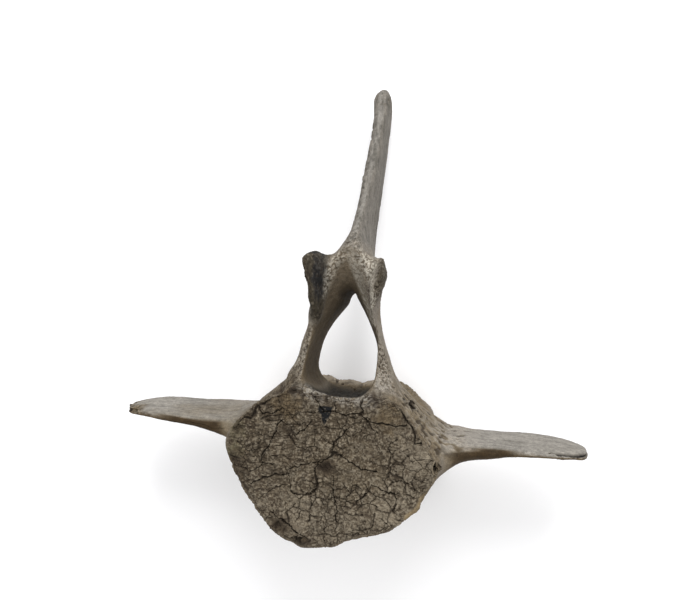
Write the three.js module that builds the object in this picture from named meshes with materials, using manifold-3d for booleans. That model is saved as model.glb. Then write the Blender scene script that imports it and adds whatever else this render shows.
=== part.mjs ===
// Whale vertebra: one bone from the front of the lumbar region of a large baleen whale.
// Units are millimetres. The bone lies on the flat rear face of its body, the centrum:
//   +X  the animal's left
//   +Y  dorsal, towards the tip of the neural spine
//   +Z  up from the floor, which is forward in the animal
// The origin is on the floor, where the axis of the centrum meets its rear face.
// The bone is shaped whole, and then parted by thin kerfs where an anatomist names its parts.

import * as THREE from 'three';
import { LoftGeometry } from 'three/addons/geometries/LoftGeometry.js';
import { mergeVertices } from 'three/addons/utils/BufferGeometryUtils.js';
import Module from 'manifold-3d';

const wasm = await Module();
wasm.setup();

// ---------------------------------------------------------------- driving dimensions

const KERF = 0.3;
const LEFT = 1;
const RIGHT = -1;

// Centrum, the drum of the vertebra. Its section is a superellipse, fuller above than below.
const CENTRUM_LENGTH = 170;
const CENTRUM_HALF_WIDTH = 103;
const WIDEST_LEVEL = 17;
const RISE_ABOVE_WIDEST = 70;
const DROP_BELOW_WIDEST = 90;
const UPPER_FULLNESS = 2.05;
const LOWER_FULLNESS = 1.94;
const WAIST_PINCH = 0.13;
const WAIST_SHARPNESS = 1.5;
const REAR_FLARE = 0.01;
const RIM_ROUNDING = 6;
const FACE_DISH = 4;
const DISH_HALF_WIDTH = 92;
const DISH_HALF_HEIGHT = 74;
const DISH_LEVEL = 0;
const GROOVE_DEPTH = 13;
const GROOVE_HALF_WIDTH = 45;
const GROOVE_MIDDLE_REAR = -6;
const GROOVE_MIDDLE_FRONT = 3;

// The left margins are worn nearly flat at these angles, beyond these distances from the axis
// on the rear and front faces.
const WORN_MARGINS = [
  { angle: -60, rear: 86, front: 69.5 },
  { angle: -10, rear: 112, front: 97 },
  { angle: 37, rear: 93, front: 93 },
];
const WORN_SHARE = 0.85;

// Neural canal, the tall passage of the spinal cord between the two halves of the arch.
const CANAL_WIDEST_LEVEL = 99;
const CANAL_FLOOR_REACH = 46;

// The mid-plane of the arch and spine stands a little to the right of the centrum's.
const ARCH_OFFSET = -3;
const SPINE_BASE = 205;
const SPINE_TIP = 401;
const SPINE_LEAN = 7;

// Fineness of the facets.
const CENTRUM_SIDES = 56;
const PROCESS_SIDES = 26;
const ARCH_SIDES = 36;
const CANAL_SIDES = 36;
const METAPOPHYSIS_SIDES = 20;
const HOLLOW_SIDES = 40;
const HOLLOW_RINGS = 20;
const RIM_STEPS = 3;
const BARREL_STEPS = 8;
const STEPS_BETWEEN_STATIONS = 2;
const MERGE_DISTANCE = 1e-4;

// ---------------------------------------------------------------- finishes

const finishes = {
  crackedFace: { color: '#665b4a', roughness: 0.93, metalness: 0 },
  weatheredBone: { color: '#8f897e', roughness: 0.88, metalness: 0 },
  brownBone: { color: '#776c5a', roughness: 0.86, metalness: 0 },
  darkBone: { color: '#69635a', roughness: 0.9, metalness: 0 },
};

// ---------------------------------------------------------------- helpers

function signedPower(value, power) {
  return Math.sign(value) * Math.abs(value) ** power;
}

// A point of the unit superellipse at an angle in radians. Fullness 2 is a circle.
function superellipse(angle, fullness) {
  return [
    signedPower(Math.cos(angle), 2 / fullness),
    signedPower(Math.sin(angle), 2 / fullness),
  ];
}

function ring(sides, pointAt) {
  return Array.from({ length: sides }, (_, i) => pointAt((2 * Math.PI * i) / sides));
}

// Stations are rows of named sizes along a part. The spline passes through all of them.
function splineThrough(stations, along) {
  const keys = Object.keys(stations[0]);
  const spline = new THREE.CubicInterpolant(
    stations.map((row) => row[along]),
    stations.flatMap((row) => keys.map((key) => row[key])),
    keys.length,
    new Float64Array(keys.length),
  );
  return (place) => {
    const values = [...spline.evaluate(place)];
    return Object.fromEntries(keys.map((key, k) => [key, values[k]]));
  };
}

// Evenly stepped rows of the spline from the first station to the last.
function smoothRows(stations, along) {
  const rowAt = splineThrough(stations, along);
  const rows = [];
  for (let i = 0; i < stations.length - 1; i += 1) {
    const start = stations[i][along];
    const stride = (stations[i + 1][along] - start) / STEPS_BETWEEN_STATIONS;
    for (let k = 0; k < STEPS_BETWEEN_STATIONS; k += 1) {
      rows.push(rowAt(start + k * stride));
    }
  }
  rows.push(stations.at(-1));
  return rows;
}

// The geometry with its shared vertices merged, so that it is one closed skin.
function closedSkin(source) {
  const geometry = new THREE.BufferGeometry();
  geometry.setAttribute('position', source.attributes.position);
  geometry.setIndex(source.index);
  return mergeVertices(geometry, MERGE_DISTANCE);
}

function loft(sections) {
  const geometry = new LoftGeometry(sections, { capStart: true, capEnd: true });
  return closedSkin(geometry);
}

function solidOf(geometry) {
  return new wasm.Manifold(new wasm.Mesh({
    numProp: 3,
    vertProperties: new Float32Array(geometry.attributes.position.array),
    triVerts: new Uint32Array(geometry.index.array),
  }));
}

function geometryOf(solid) {
  const mesh = solid.getMesh();
  const geometry = new THREE.BufferGeometry();
  geometry.setAttribute('position', new THREE.BufferAttribute(mesh.vertProperties, 3));
  geometry.setIndex(new THREE.BufferAttribute(mesh.triVerts, 1));
  geometry.computeVertexNormals();
  return geometry;
}

// A box between two corners, as a solid that keeps what lies inside it.
function region(low, high) {
  const size = high.map((value, i) => value - low[i]);
  const box = new THREE.BoxGeometry(...size);
  box.translate(...low.map((value, i) => value + size[i] / 2));
  return solidOf(closedSkin(box));
}

// ---------------------------------------------------------------- centrum

// Rows along the centrum, whose `inset` rounds the rims.
function centrumRows() {
  const rows = [];
  const rim = (k) => {
    const turn = (Math.PI / 2) * (k / RIM_STEPS);
    return [RIM_ROUNDING * (1 - Math.sin(turn)), RIM_ROUNDING * (1 - Math.cos(turn))];
  };
  for (let k = 0; k < RIM_STEPS; k += 1) {
    const [inset, height] = rim(k);
    rows.push({ z: height, inset });
  }
  for (let k = 0; k <= BARREL_STEPS; k += 1) {
    const span = CENTRUM_LENGTH - 2 * RIM_ROUNDING;
    rows.push({ z: RIM_ROUNDING + (span * k) / BARREL_STEPS, inset: 0 });
  }
  for (let k = RIM_STEPS - 1; k >= 0; k -= 1) {
    const [inset, height] = rim(k);
    rows.push({ z: CENTRUM_LENGTH - height, inset });
  }
  return rows;
}

function centrumPoint(angle, row, grow) {
  const upper = Math.sin(angle) > 0;
  const [across, up] = superellipse(angle, upper ? UPPER_FULLNESS : LOWER_FULLNESS);
  let x = CENTRUM_HALF_WIDTH * across;
  let y = WIDEST_LEVEL + (upper ? RISE_ABOVE_WIDEST : DROP_BELOW_WIDEST) * up;
  const along = THREE.MathUtils.clamp(row.z / CENTRUM_LENGTH, 0, 1);
  const middle = THREE.MathUtils.lerp(GROOVE_MIDDLE_REAR, GROOVE_MIDDLE_FRONT, along);
  const fromGroove = Math.abs(x - middle) / GROOVE_HALF_WIDTH;
  if (upper && fromGroove < 1) {
    y -= GROOVE_DEPTH * Math.cos((Math.PI / 2) * fromGroove);
  }
  const mid = Math.max(0, Math.sin(Math.PI * along));
  const waist = 1 - WAIST_PINCH * mid ** WAIST_SHARPNESS;
  const flare = 1 + REAR_FLARE * (1 - along);
  const reach = Math.hypot(x, y);
  const scale = (waist * flare * (reach - row.inset) + grow) / reach;
  x *= scale;
  y *= scale;
  for (const margin of WORN_MARGINS) {
    const turn = THREE.MathUtils.degToRad(margin.angle);
    const distance = THREE.MathUtils.lerp(margin.rear, margin.front, along) + grow;
    const excess = x * Math.cos(turn) + y * Math.sin(turn) - distance;
    if (excess > 0) {
      x -= WORN_SHARE * excess * Math.cos(turn);
      y -= WORN_SHARE * excess * Math.sin(turn);
    }
  }
  return new THREE.Vector3(x, y, row.z);
}

// The drum, or one a kerf larger all round to cut what grows from it.
function drumSolid(grow) {
  const rows = centrumRows();
  rows[0].z -= grow;
  rows.at(-1).z += grow;
  const sections = rows.map((row) => ring(CENTRUM_SIDES, (angle) => centrumPoint(angle, row, grow)));
  return solidOf(loft(sections));
}

// The shallow hollow of the front face, as the lower part of a flattened ball.
function faceHollow() {
  const ball = new THREE.SphereGeometry(1, HOLLOW_SIDES, HOLLOW_RINGS);
  ball.rotateX(Math.PI / 2);
  ball.scale(DISH_HALF_WIDTH, DISH_HALF_HEIGHT, 2 * FACE_DISH);
  ball.translate(0, DISH_LEVEL, CENTRUM_LENGTH + FACE_DISH);
  return solidOf(closedSkin(ball));
}

// ---------------------------------------------------------------- transverse processes

// `out` runs sideways from the mid-plane; `rear` and `front` are heights above the floor;
// `tilt` raises the rear edge above the front one.
const LEFT_PROCESS = [
  { out: 60, level: 18, thick: 70, rear: 35, front: 142, tilt: 0 },
  { out: 88, level: 19, thick: 60, rear: 38, front: 139, tilt: 1 },
  { out: 100, level: 22, thick: 46, rear: 42, front: 135, tilt: 2 },
  { out: 113, level: 27, thick: 31, rear: 45, front: 131, tilt: 3 },
  { out: 128, level: 31, thick: 21, rear: 46, front: 129, tilt: 4 },
  { out: 150, level: 34, thick: 16, rear: 46, front: 129, tilt: 4 },
  { out: 185, level: 36, thick: 13.5, rear: 46, front: 130, tilt: 4 },
  { out: 215, level: 36, thick: 12.5, rear: 48, front: 127, tilt: 4 },
  { out: 232, level: 35, thick: 11, rear: 54, front: 118, tilt: 3 },
  { out: 243, level: 34, thick: 9.5, rear: 63, front: 107, tilt: 2 },
  { out: 246, level: 34, thick: 7, rear: 72, front: 98, tilt: 1 },
];

// The right process is a little shorter and its tip is broken to a blunt point.
const RIGHT_PROCESS = [
  { out: 60, level: 20, thick: 70, rear: 35, front: 142, tilt: 0 },
  { out: 90, level: 22, thick: 56, rear: 38, front: 139, tilt: 2 },
  { out: 104, level: 26, thick: 40, rear: 42, front: 135, tilt: 4 },
  { out: 117, level: 29, thick: 28, rear: 45, front: 131, tilt: 5 },
  { out: 132, level: 31, thick: 20, rear: 46, front: 129, tilt: 6 },
  { out: 155, level: 33, thick: 15, rear: 46, front: 129, tilt: 6 },
  { out: 185, level: 34, thick: 13, rear: 46, front: 129, tilt: 5 },
  { out: 208, level: 34, thick: 12, rear: 49, front: 124, tilt: 4 },
  { out: 226, level: 32, thick: 10.5, rear: 57, front: 112, tilt: 3 },
  { out: 236, level: 30, thick: 8.5, rear: 68, front: 99, tilt: 2 },
  { out: 240, level: 29, thick: 5, rear: 76, front: 90, tilt: 1 },
];
const PROCESS_FULLNESS = 2.5;

function processSolid(stations, side) {
  const sections = smoothRows(stations, 'out').map((row) => {
    const points = ring(PROCESS_SIDES, (angle) => {
      const [up, forward] = superellipse(angle, PROCESS_FULLNESS);
      const halfBreadth = (row.front - row.rear) / 2;
      return new THREE.Vector3(
        side * row.out,
        row.level + (row.thick / 2) * up - row.tilt * forward,
        row.rear + halfBreadth + halfBreadth * forward,
      );
    });
    return side > 0 ? points : points.reverse();
  });
  return solidOf(loft(sections));
}

// ---------------------------------------------------------------- neural arch and spine

// `up` runs dorsally; the half widths are those of the rear and front edges, at `rear` and
// `front` above the floor.
const ARCH_AND_SPINE = [
  { up: 55, rearHalf: 84, frontHalf: 85, rear: 38, front: 162, fullness: 2.6 },
  { up: 75, rearHalf: 65, frontHalf: 72, rear: 42, front: 161, fullness: 2.6 },
  { up: 86, rearHalf: 51, frontHalf: 64, rear: 45, front: 159, fullness: 2.6 },
  { up: 98, rearHalf: 43, frontHalf: 56, rear: 48, front: 154, fullness: 2.6 },
  { up: 116, rearHalf: 36, frontHalf: 50, rear: 52, front: 150, fullness: 2.6 },
  { up: 135, rearHalf: 29, frontHalf: 45, rear: 54, front: 148, fullness: 2.6 },
  { up: 155, rearHalf: 23, frontHalf: 40, rear: 52, front: 148, fullness: 2.6 },
  { up: 175, rearHalf: 20, frontHalf: 36, rear: 44, front: 148, fullness: 2.6 },
  { up: 190, rearHalf: 17, frontHalf: 33, rear: 34, front: 150, fullness: 2.6 },
  { up: 205, rearHalf: 14, frontHalf: 26, rear: 24, front: 152, fullness: 2.8 },
  { up: 218, rearHalf: 12, frontHalf: 17, rear: 17, front: 151, fullness: 3.2 },
  { up: 231, rearHalf: 11, frontHalf: 11, rear: 13, front: 142, fullness: 3.6 },
  { up: 246, rearHalf: 10, frontHalf: 8.5, rear: 10, front: 126, fullness: 4 },
  { up: 267, rearHalf: 9, frontHalf: 7.5, rear: 7, front: 106, fullness: 4.5 },
  { up: 300, rearHalf: 8.5, frontHalf: 7.5, rear: 4.5, front: 84, fullness: 4.5 },
  { up: 340, rearHalf: 8, frontHalf: 7.5, rear: 3.5, front: 66, fullness: 4.5 },
  { up: 380, rearHalf: 8, frontHalf: 7.5, rear: 4, front: 56, fullness: 4 },
  { up: 394, rearHalf: 6.5, frontHalf: 6.5, rear: 8, front: 50, fullness: 3.2 },
  { up: 401, rearHalf: 3, frontHalf: 3, rear: 15, front: 40, fullness: 2.5 },
];

// The spine leans a little to the left towards its tip.
function archMiddle(level) {
  const climb = THREE.MathUtils.smoothstep(level, SPINE_BASE, SPINE_TIP);
  return ARCH_OFFSET + SPINE_LEAN * climb;
}

function archSolid(grow) {
  const sections = smoothRows(ARCH_AND_SPINE, 'up').map((row) => (
    ring(ARCH_SIDES, (angle) => {
      const [forward, across] = superellipse(angle, row.fullness);
      const share = (1 + forward) / 2;
      const halfWidth = row.rearHalf + (row.frontHalf - row.rearHalf) * share + grow;
      const halfDepth = (row.front - row.rear) / 2 + grow;
      return new THREE.Vector3(
        archMiddle(row.up) + halfWidth * across,
        row.up,
        (row.front + row.rear) / 2 + halfDepth * forward,
      );
    })
  ));
  return solidOf(loft(sections));
}

// The canal is a passage with a pointed roof. In front the roof climbs into an open trough
// between the metapophyses; `pinch` under 1 makes its upper part wider.
const CANAL = [
  { z: -10, half: 34, peak: 176, pinch: 1 },
  { z: 75, half: 34, peak: 176, pinch: 1 },
  { z: 105, half: 34, peak: 177, pinch: 0.95 },
  { z: 125, half: 34.5, peak: 188, pinch: 0.75 },
  { z: 140, half: 35, peak: 207, pinch: 0.55 },
  { z: 152, half: 37, peak: 226, pinch: 0.5 },
  { z: 170, half: 41, peak: 246, pinch: 0.5 },
  { z: 200, half: 48, peak: 280, pinch: 0.5 },
];

function canalSolid() {
  const sections = smoothRows(CANAL, 'z').map((row) => (
    ring(CANAL_SIDES, (angle) => {
      const across = Math.cos(angle);
      const up = Math.sin(angle);
      if (up < 0) {
        return new THREE.Vector3(
          ARCH_OFFSET + row.half * across,
          CANAL_WIDEST_LEVEL + CANAL_FLOOR_REACH * up,
          row.z,
        );
      }
      const climb = 1 - Math.abs(1 - angle / (Math.PI / 2));
      const width = Math.cos((Math.PI / 2) * climb) ** row.pinch;
      return new THREE.Vector3(
        ARCH_OFFSET + row.half * Math.sign(across) * width,
        CANAL_WIDEST_LEVEL + (row.peak - CANAL_WIDEST_LEVEL) * climb,
        row.z,
      );
    })
  ));
  return solidOf(loft(sections));
}

// ---------------------------------------------------------------- metapophyses

// Ear-like plates that stand forward and outward from the front corners of the arch.
// `out` is measured from the arch's mid-plane, and `lean` carries the top edge outwards.
const METAPOPHYSIS = [
  { z: 118, out: 23, level: 177, tall: 62, thick: 12, lean: -0.1 },
  { z: 140, out: 28, level: 178, tall: 64, thick: 12, lean: -0.04 },
  { z: 156, out: 31, level: 181, tall: 60, thick: 11, lean: 0.08 },
  { z: 170, out: 33, level: 185, tall: 50, thick: 10.5, lean: 0.15 },
  { z: 181, out: 35, level: 189, tall: 37, thick: 10, lean: 0.18 },
  { z: 188, out: 36, level: 192, tall: 24, thick: 8, lean: 0.18 },
  { z: 191, out: 36.5, level: 193, tall: 12, thick: 4, lean: 0.18 },
];
const METAPOPHYSIS_FULLNESS = 2.3;

function metapophysisSolid(side) {
  const sections = smoothRows(METAPOPHYSIS, 'z').map((row) => {
    const points = ring(METAPOPHYSIS_SIDES, (angle) => {
      const [across, up] = superellipse(angle, METAPOPHYSIS_FULLNESS);
      const rise = (row.tall / 2) * up;
      return new THREE.Vector3(
        ARCH_OFFSET + side * (row.out + row.lean * rise + (row.thick / 2) * across),
        row.level + rise,
        row.z,
      );
    });
    return side > 0 ? points : points.reverse();
  });
  return solidOf(loft(sections));
}

// ---------------------------------------------------------------- parting and assembly

const centrum = drumSolid(0).subtract(faceHollow());
const centrumAndKerf = drumSolid(KERF);
const canal = canalSolid();
const arch = archSolid(0).subtract(canal).subtract(centrumAndKerf);
const archAndKerf = archSolid(KERF);
const leftProcess = processSolid(LEFT_PROCESS, LEFT).subtract(centrumAndKerf);
const rightProcess = processSolid(RIGHT_PROCESS, RIGHT).subtract(centrumAndKerf);

const FAR = 600;
const belowSpine = SPINE_BASE - KERF / 2;
const aboveArch = SPINE_BASE + KERF / 2;
const leftHalf = region([ARCH_OFFSET + KERF / 2, 0, -FAR], [FAR, belowSpine, FAR]);
const rightHalf = region([-FAR, 0, -FAR], [ARCH_OFFSET - KERF / 2, belowSpine, FAR]);
const dorsalPart = region([-FAR, aboveArch, -FAR], [FAR, FAR, FAR]);

const bone = new THREE.Group();

function add(name, solid, finish) {
  const mesh = new THREE.Mesh(geometryOf(solid), new THREE.MeshStandardMaterial(finish));
  mesh.name = name;
  bone.add(mesh);
}

add('centrum', centrum, finishes.crackedFace);
add('transverse_process_left', leftProcess, finishes.weatheredBone);
add('transverse_process_right', rightProcess, finishes.weatheredBone);
add('pedicle_left', arch.intersect(leftHalf), finishes.brownBone);
add('pedicle_right', arch.intersect(rightHalf), finishes.brownBone);
add('neural_spine', arch.intersect(dorsalPart), finishes.weatheredBone);
add('metapophysis_left', metapophysisSolid(LEFT).subtract(archAndKerf), finishes.weatheredBone);
add('metapophysis_right', metapophysisSolid(RIGHT).subtract(archAndKerf), finishes.darkBone);

export default bone;
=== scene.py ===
# %% [markdown]
# # A weathered whale vertebra
# The object is one lumbar vertebra of a large baleen whale, long out of the sea. It lies on the
# rear face of its drum, so that the cracked front face looks up.
# The eight CAD solids give the form. Here they are fused into one seamless skin, which is then
# worn by cracks, plates, fibres and pits, and coloured point by point.
# Everything is measured in millimetres until the mesh is made, in the frame of the CAD part:
# +X is the animal's left, +Y is dorsal and +Z is forward, away from the floor.

# %% Setup
import math

import bpy
import numpy as np
import openvdb
from mathutils import Matrix, Vector


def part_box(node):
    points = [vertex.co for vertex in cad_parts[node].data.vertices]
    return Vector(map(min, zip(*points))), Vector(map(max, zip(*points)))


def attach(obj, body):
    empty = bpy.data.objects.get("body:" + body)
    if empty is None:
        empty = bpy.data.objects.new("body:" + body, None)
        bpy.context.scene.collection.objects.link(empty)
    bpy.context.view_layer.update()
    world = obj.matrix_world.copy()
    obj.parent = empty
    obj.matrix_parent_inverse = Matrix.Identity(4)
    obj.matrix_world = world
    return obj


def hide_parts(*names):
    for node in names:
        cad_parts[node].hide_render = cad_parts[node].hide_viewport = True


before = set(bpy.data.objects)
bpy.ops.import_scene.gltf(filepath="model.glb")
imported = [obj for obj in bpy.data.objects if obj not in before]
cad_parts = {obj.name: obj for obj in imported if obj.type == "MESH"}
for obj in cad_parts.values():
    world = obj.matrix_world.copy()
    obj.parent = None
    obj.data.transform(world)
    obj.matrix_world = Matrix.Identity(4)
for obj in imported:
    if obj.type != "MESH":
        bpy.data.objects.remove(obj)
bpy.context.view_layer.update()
MM = 0.001
corners = np.array([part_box(name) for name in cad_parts]) / MM
cad_low = corners[:, 0].min(0)
cad_high = corners[:, 1].max(0)
print("CAD box in mm", cad_low.round(1), cad_high.round(1))

# %% [markdown]
# ## Randomness with a fixed seed
# Bone wears by chance, so most of its relief comes from smooth noise. One table of random numbers
# is made once from a fixed seed, so every run gives the same bone.

# %% Noise
LATTICE = 64
SEED = 1846
rng = np.random.default_rng(SEED)
lattice = rng.random((LATTICE, LATTICE, LATTICE), dtype=np.float32)
plate_seeds = rng.random((LATTICE, LATTICE, 3), dtype=np.float32)


def smoothstep(low, high, value):
    t = np.clip((value - low) / (high - low), 0, 1)
    return t * t * (3 - 2 * t)


def noise(points, size, shift=0.0):
    """Smooth random values from 0 to 1; size is one wavelength in millimetres, or one per axis.

    The shift moves to another part of the table, so that each use has noise of its own.
    """
    q = points / np.asarray(size, np.float32) + np.float32(shift)
    low = np.floor(q).astype(np.int32)
    t = (q - low).astype(np.float32)
    t = t * t * t * (t * (t * 6 - 15) + 10)
    low &= LATTICE - 1
    high = (low + 1) & (LATTICE - 1)
    ends = (low, high)
    parts = (1 - t, t)
    total = np.zeros(len(points), np.float32)
    for i, j, k in np.ndindex(2, 2, 2):
        weight = parts[i][:, 0] * parts[j][:, 1] * parts[k][:, 2]
        total += weight * lattice[ends[i][:, 0], ends[j][:, 1], ends[k][:, 2]]
    return total


def rough(points, size, octaves=3, shift=0.0):
    """Noise of several wavelengths, each half as long and half as strong as the one before."""
    total = np.zeros(len(points), np.float32)
    size = np.asarray(size, np.float32)
    share = 1.0
    for octave in range(octaves):
        total += share * noise(points, size / 2**octave, shift + 17.3 * octave)
        share /= 2
    return total / (2 - 2 * share)


def ridged(points, size, shift=0.0):
    """Noise folded into sharp ridges, 1 on a ridge and 0 between them."""
    return 1 - np.abs(2 * noise(points, size, shift) - 1)


def plates(xy, size, shift=0.0):
    """Distance in millimetres to the nearest joint of a random mosaic, and one value per plate."""
    q = (xy / size + shift).astype(np.float32)
    base = np.floor(q).astype(np.int32)
    nearest = np.full(len(q), 9.0, np.float32)
    own = np.zeros_like(q)
    value = np.zeros(len(q), np.float32)
    around = [(i - 1, j - 1) for i, j in np.ndindex(3, 3)]

    def seed_of(step):
        cell = base + np.array(step, np.int32)
        found = plate_seeds[cell[:, 0] & (LATTICE - 1), cell[:, 1] & (LATTICE - 1)]
        return cell + 0.1 + 0.8 * found[:, :2], found[:, 2]

    for step in around:
        seed, tag = seed_of(step)
        distance = ((seed - q) ** 2).sum(1)
        closer = distance < nearest
        nearest = np.where(closer, distance, nearest)
        own = np.where(closer[:, None], seed, own)
        value = np.where(closer, tag, value)
    edge = np.full(len(q), 9.0, np.float32)
    for step in around:
        seed, _ = seed_of(step)
        across = seed - own
        length = np.sqrt((across**2).sum(1))
        middle = (((own + seed) / 2 - q) * across).sum(1) / np.maximum(length, 1e-6)
        edge = np.minimum(edge, np.where(length > 1e-4, middle, 9.0))
    return edge * size, value


def route_distance(points, route):
    """Distance from each point to a line through the given places, in two or three dimensions."""
    best = np.full(len(points), 1e6, np.float32)
    route = np.asarray(route, np.float32)
    for start, end in zip(route, route[1:]):
        along = end - start
        share = np.clip(((points - start) @ along) / (along @ along), 0, 1)
        gap = points - start - share[:, None] * along
        best = np.minimum(best, np.sqrt((gap**2).sum(1)))
    return best


# %% [markdown]
# ## The CAD solids as distance fields
# A distance field holds, at every cell of a block of space, how far the nearest surface is, below
# zero inside. Solids in this form can be joined with soft fillets, as a living bone grows, instead
# of meeting in hard creases.

# %% Distance fields
VOXEL = 1.6
BAND = 14
PAD = 10
grid_low = np.floor(cad_low / VOXEL).astype(int) - PAD
grid_shape = np.ceil(cad_high / VOXEL).astype(int) + PAD + 1 - grid_low
transform = openvdb.createLinearTransform(VOXEL)


def mesh_of(names):
    """The points in millimetres and the triangles of some CAD nodes, taken together."""
    points, triangles = [], []
    count = 0
    for name in names:
        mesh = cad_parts[name].data
        mesh.calc_loop_triangles()
        place = np.empty(len(mesh.vertices) * 3, np.float32)
        mesh.vertices.foreach_get("co", place)
        corners = np.empty(len(mesh.loop_triangles) * 3, np.int32)
        mesh.loop_triangles.foreach_get("vertices", corners)
        points.append(place.reshape(-1, 3) / MM)
        triangles.append(corners.reshape(-1, 3) + count)
        count += len(mesh.vertices)
    return np.vstack(points), np.vstack(triangles)


def level_set(points, **faces):
    faces = {kind: rows.astype(np.uint32) for kind, rows in faces.items() if len(rows)}
    return openvdb.FloatGrid.createLevelSetFromPolygons(
        points.astype(np.float64), transform=transform, halfWidth=BAND, **faces
    )


def dense(grid):
    field = np.empty(grid_shape, np.float32)
    grid.copyToArray(field, ijk=tuple(int(v) for v in grid_low))
    return field


def field_of(*names):
    points, triangles = mesh_of(names)
    return level_set(points, triangles=triangles)


# %% [markdown]
# ## One skin over the eight solids
# The kerfs inside the arch are closed by growing it a little and shrinking it back. Then the parts
# are merged with fillets about as wide as on the real bone: broad where the side processes leave
# the drum, narrower at the feet of the arch and under the ear-like plates.

# %% Merged field
KERF_CLOSING = 1.3
TROUGH_CLOSING = 9.0
PARTS = {
    "drum": ["centrum"],
    "wing_left": ["transverse_process_left"],
    "wing_right": ["transverse_process_right"],
    "arch": ["pedicle_left", "pedicle_right", "neural_spine"],
    "ear_left": ["metapophysis_left"],
    "ear_right": ["metapophysis_right"],
}
FILLETS = {"wing_left": 20, "wing_right": 20, "arch": 15, "ear_left": 15, "ear_right": 11}
fields = {key: dense(field_of(*nodes)) for key, nodes in PARTS.items() if key != "arch"}


def closed(grid, reach):
    """The field of a solid grown by some millimetres and shrunk back, which fills its creases."""
    points, _, quads = grid.convertToPolygons(isovalue=reach)
    return dense(level_set(points, quads=quads)) + reach


arch_grid = field_of(*PARTS["arch"])
axes_mm = [(np.arange(n) + first) * VOXEL for n, first in zip(grid_shape, grid_low)]
_, grid_y, grid_z = np.meshgrid(*axes_mm, indexing="ij", sparse=True)
in_trough = smoothstep(108, 130, grid_z) * smoothstep(150, 178, grid_y)
fields["arch"] = closed(arch_grid, KERF_CLOSING)
fields["arch"] += (closed(arch_grid, TROUGH_CLOSING) - fields["arch"]) * in_trough


def merged(a, b, fillet):
    """Two solids as one, with a fillet of about this many millimetres where they meet."""
    overlap = np.clip(fillet - np.abs(a - b), 0, None) / fillet
    return np.minimum(a, b) - overlap**2 * fillet / 4


def softened(field, rounds):
    """The field blurred by its neighbours, which rounds off what is sharp."""
    for _ in range(rounds):
        for axis in range(3):
            field = (np.roll(field, 1, axis) + 2 * field + np.roll(field, -1, axis)) / 4
    return field


bone_field = fields["drum"]
for key, fillet in FILLETS.items():
    bone_field = merged(bone_field, fields[key], fillet)
bone_field = softened(bone_field, 2)
print("field", bone_field.shape, "bone cells", int((bone_field < 0).sum()))

# %% [markdown]
# ## Losses
# Some losses are too deep for surface relief: the hollow broken end of the right process, the thin
# edge of the left one, a gap behind the rim of the drum, holes on its shoulder, and chips out of
# the rims. Each is an ellipsoid with a ragged surface, and will be taken out of the field.

# %% Table of breaks
BREAKS = [
    {"at": (-243, 28, 92), "reach": (13, 5.5, 15)},
    {"at": (-229, 30.5, 114), "reach": (13, 3.3, 13)},
    {"at": (99.5, 17, 168), "reach": (3, 7.5, 9)},
    {"at": (69, 68, 128), "reach": (7, 4.5, 9)},
    {"at": (62, 73, 139), "reach": (4, 3, 6)},
    {"at": (-43.5, 76.5, 172), "reach": (4, 4, 5)},
    {"at": (-52, -53, 172), "reach": (10, 6, 6)},
    {"at": (-25, -66, 171), "reach": (10, 3.0, 4)},
    {"at": (31, -65, 170), "reach": (9, 6, 6)},
    {"at": (247, 35.5, 112), "reach": (10, 1.6, 8)},
]
RAGGEDNESS = 0.5
print("breaks", len(BREAKS))

# %% [markdown]
# ## Swellings
# Slow bulges and dents carry the form beyond what the plain CAD solids hold: no two sides of a
# real bone are alike. Each adds some millimetres to the surface near a place, or takes them off,
# and fades out smoothly over its reach.

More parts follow.
